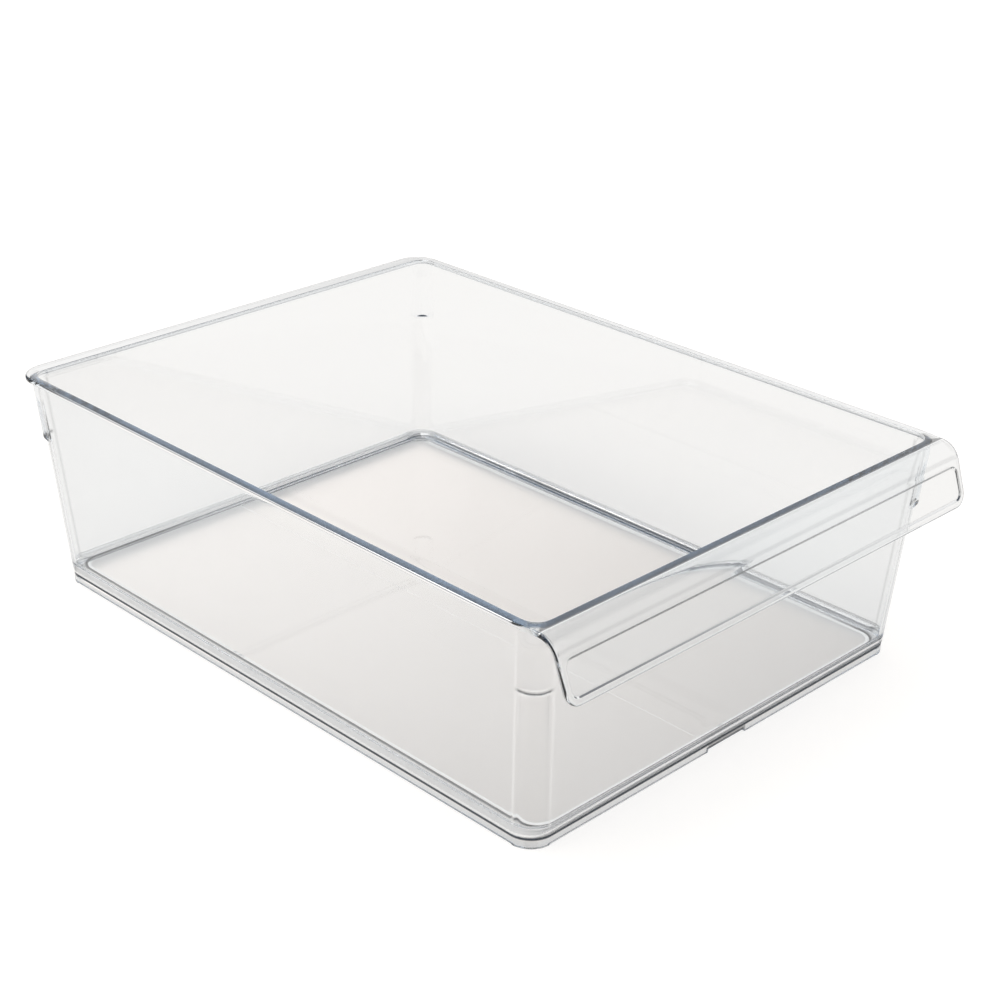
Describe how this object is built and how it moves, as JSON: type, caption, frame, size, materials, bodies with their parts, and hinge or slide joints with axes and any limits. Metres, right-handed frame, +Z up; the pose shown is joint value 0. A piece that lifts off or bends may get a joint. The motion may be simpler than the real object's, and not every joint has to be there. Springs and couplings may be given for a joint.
{
  "type": "fridge organizer",
  "caption": "Clear open-top storage bin with leaning walls, a rim flange, corner stacking lugs and a full-width front handle lip that curls over and down with a recessed grip panel",
  "frame": {"origin": "middle of the whole bin seen from above, on the surface that its foot stands on", "axes": "+Z up, -Y towards the front handle lip, X across the bin's width"},
  "size_m": [0.2452, 0.3422, 0.1018],
  "materials": {
    "clear_plastic": "clear, colourless, polished"
  },
  "bodies": {
    "root": {"foot_skirt": "clear_plastic", "floor_panel": "clear_plastic", "wall_band": "clear_plastic", "rim_flange": "clear_plastic", "front_handle": "clear_plastic", "stacking_lug_front_left": "clear_plastic", "stacking_lug_front_right": "clear_plastic", "stacking_lug_back_left": "clear_plastic", "stacking_lug_back_right": "clear_plastic"}
  },
  "joints": []
}
